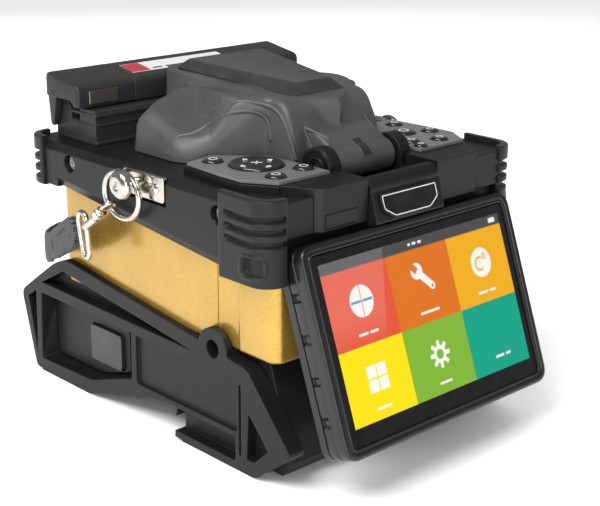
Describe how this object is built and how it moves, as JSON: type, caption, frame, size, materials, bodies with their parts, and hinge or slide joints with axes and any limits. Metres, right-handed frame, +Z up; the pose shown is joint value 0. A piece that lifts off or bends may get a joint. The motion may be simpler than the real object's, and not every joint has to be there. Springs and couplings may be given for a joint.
{
  "type": "fiber fusion splicer",
  "caption": "Portable optical fibre fusion splicer: painted housing in a rubber bumper frame, folding colour monitor, hinged windshield, tube heater, drop-in battery and carrying strap.",
  "frame": {"origin": "on the floor under the centre of the bounding box", "axes": "+X to the right of the operator, +Y away from the operator, +Z up"},
  "size_m": [0.1658, 0.2158, 0.1541],
  "materials": {
    "base_plastic": "charcoal moulded polymer, fine texture",
    "foot_rubber": "matt rubber pads",
    "battery_plastic": "black moulded case",
    "latch_plastic": "semi-gloss black key",
    "painted_housing": "champagne gold metallic paint",
    "circuit_board": "green solder mask",
    "bumper_plastic": "charcoal moulded polymer, satin texture",
    "corner_rubber": "soft-touch elastomer",
    "console_plastic": "charcoal moulded polymer",
    "key_plate_finish": "silver-grey satin paint",
    "key_plastic": "black keys with satin crowns",
    "flap_rubber": "soft rubber flap",
    "hinge_steel": "ground steel pin",
    "bezel_rubber": "soft black overmould",
    "monitor_plastic": "black moulded polymer",
    "display_glass": "black glass over a lit colour panel",
    "badge_plastic": "gloss black plate with a fine pale outline",
    "windshield_plastic": "mid-grey fine-textured cover",
    "windshield_gloss": "gloss black plate",
    "machined_metal": "machined, satin",
    "clamp_plastic": "black clamp lids",
    "electrode_ceramic": "pale ceramic holder with a metal tip",
    "heater_plastic": "black moulded cover",
    "heater_metal": "satin sheet metal",
    "fitting_chrome": "bright nickel plate",
    "strap_webbing": "woven webbing"
  },
  "bodies": {
    "casing": {"base_side_left": "base_plastic", "base_side_right": "base_plastic", "base_core": "base_plastic", "foot_front_left": "foot_rubber", "foot_rear_left": "foot_rubber", "foot_front_right": "foot_rubber", "foot_rear_right": "foot_rubber", "rear_housing": "painted_housing", "front_housing": "painted_housing", "main_board": "circuit_board", "bumper_frame": "bumper_plastic", "top_deck": "bumper_plastic", "corner_front_left": "corner_rubber", "corner_rear_left": "corner_rubber", "corner_front_right": "corner_rubber", "corner_rear_right": "corner_rubber", "console_left": "console_plastic", "console_right": "console_plastic", "key_plate_left": "key_plate_finish", "key_plate_right": "key_plate_finish", "monitor_pin": "hinge_steel", "windshield_pin": "hinge_steel", "stage_block": "machined_metal", "electrode_front": "electrode_ceramic", "electrode_rear": "electrode_ceramic", "heater_base": "heater_plastic", "heater_element": "heater_metal", "strap_bracket_left": "fitting_chrome", "strap_bracket_right": "fitting_chrome"},
    "monitor": {"monitor_bezel": "bezel_rubber", "display_panel": "display_glass", "monitor_back": "monitor_plastic", "monitor_arm": "monitor_plastic", "hinge_badge": "badge_plastic"},
    "windshield": {"windshield_hood": "windshield_plastic", "windshield_cap": "windshield_gloss"},
    "heater_cover": {"heater_lid": "heater_plastic", "heater_tag": "heater_metal"},
    "battery": {"battery_pack": "battery_plastic"},
    "battery_catch": {"battery_latch": "latch_plastic"},
    "port_cover": {"port_flap": "flap_rubber"},
    "carriage_left": {"fibre_carriage_left": "machined_metal"},
    "carriage_right": {"fibre_carriage_right": "machined_metal"},
    "clamp_left": {"sheath_clamp_left": "clamp_plastic"},
    "clamp_right": {"sheath_clamp_right": "clamp_plastic"},
    "strap": {"strap_ring_left": "fitting_chrome", "strap_ring_right": "fitting_chrome", "snap_hook_left": "fitting_chrome", "snap_hook_right": "fitting_chrome", "shoulder_strap": "strap_webbing"},
    "dpad_body": {"dpad": "key_plastic"},
    "key_left_rear_body": {"key_left_rear": "key_plastic"},
    "key_left_inner_body": {"key_left_inner": "key_plastic"},
    "key_left_front_body": {"key_left_front": "key_plastic"},
    "key_right_rear_body": {"key_right_rear": "key_plastic"},
    "key_right_large_body": {"key_right_large": "key_plastic"},
    "key_right_outer_body": {"key_right_outer": "key_plastic"},
    "key_right_front_body": {"key_right_front": "key_plastic"},
    "key_right_inner_body": {"key_right_inner": "key_plastic"},
    "key_right_corner_body": {"key_right_corner": "key_plastic"}
  },
  "joints": [
    {"name": "monitor_tilt", "type": "hinge", "parent": "casing", "child": "monitor", "pos_m": [0, -0.07131, 0.11557], "axis": [-1, 0, 0], "range_deg": [0, 115]},
    {"name": "windshield_open", "type": "hinge", "parent": "casing", "child": "windshield", "pos_m": [0, -0.0483, 0.1205], "axis": [1, 0, 0], "range_deg": [0, 90]},
    {"name": "heater_lid_open", "type": "hinge", "parent": "casing", "child": "heater_cover", "pos_m": [0, 0.0782, 0.139], "axis": [-1, 0, 0], "range_deg": [0, 95]},
    {"name": "battery_slide", "type": "slide", "parent": "casing", "child": "battery", "axis": [-1, 0, 0], "range_m": [0, 0.1]},
    {"name": "battery_catch_press", "type": "slide", "parent": "battery", "child": "battery_catch", "axis": [1, 0, 0], "range_m": [0, 0.001], "stiffness_N_per_m": 1200},
    {"name": "port_cover_open", "type": "hinge", "parent": "casing", "child": "port_cover", "pos_m": [-0.0355, -0.0752, 0.1101], "axis": [-1, 0, 0], "range_deg": [0, 85]},
    {"name": "carriage_left_feed", "type": "slide", "parent": "casing", "child": "carriage_left", "axis": [1, 0, 0], "range_m": [-0.0015, 0.0015]},
    {"name": "carriage_right_feed", "type": "slide", "parent": "casing", "child": "carriage_right", "axis": [-1, 0, 0], "range_m": [-0.0015, 0.0015]},
    {"name": "clamp_left_open", "type": "hinge", "parent": "carriage_left", "child": "clamp_left", "pos_m": [-0.037, 0.0182, 0.1228], "axis": [-1, 0, 0], "range_deg": [0, 88]},
    {"name": "clamp_right_open", "type": "hinge", "parent": "carriage_right", "child": "clamp_right", "pos_m": [0.037, 0.0182, 0.1228], "axis": [-1, 0, 0], "range_deg": [0, 88]},
    {"name": "strap_swing", "type": "hinge", "parent": "casing", "child": "strap", "pos_m": [0, 0.0083, 0.1123], "axis": [1, 0, 0], "range_deg": [0, 12]},
    {"name": "dpad_press", "type": "slide", "parent": "casing", "child": "dpad_body", "axis": [0, 0, -1], "range_m": [0, 0.0008], "stiffness_N_per_m": 700},
    {"name": "key_left_rear_press", "type": "slide", "parent": "casing", "child": "key_left_rear_body", "axis": [0, 0, -1], "range_m": [0, 0.0008], "stiffness_N_per_m": 700},
    {"name": "key_left_inner_press", "type": "slide", "parent": "casing", "child": "key_left_inner_body", "axis": [0, 0, -1], "range_m": [0, 0.0008], "stiffness_N_per_m": 700},
    {"name": "key_left_front_press", "type": "slide", "parent": "casing", "child": "key_left_front_body", "axis": [0, 0, -1], "range_m": [0, 0.0008], "stiffness_N_per_m": 700},
    {"name": "key_right_rear_press", "type": "slide", "parent": "casing", "child": "key_right_rear_body", "axis": [0, 0, -1], "range_m": [0, 0.0008], "stiffness_N_per_m": 700},
    {"name": "key_right_large_press", "type": "slide", "parent": "casing", "child": "key_right_large_body", "axis": [0, 0, -1], "range_m": [0, 0.0008], "stiffness_N_per_m": 700},
    {"name": "key_right_outer_press", "type": "slide", "parent": "casing", "child": "key_right_outer_body", "axis": [0, 0, -1], "range_m": [0, 0.0008], "stiffness_N_per_m": 700},
    {"name": "key_right_front_press", "type": "slide", "parent": "casing", "child": "key_right_front_body", "axis": [0, 0, -1], "range_m": [0, 0.0008], "stiffness_N_per_m": 700},
    {"name": "key_right_inner_press", "type": "slide", "parent": "casing", "child": "key_right_inner_body", "axis": [0, 0, -1], "range_m": [0, 0.0008], "stiffness_N_per_m": 700},
    {"name": "key_right_corner_press", "type": "slide", "parent": "casing", "child": "key_right_corner_body", "axis": [0, 0, -1], "range_m": [0, 0.0008], "stiffness_N_per_m": 700}
  ]
}
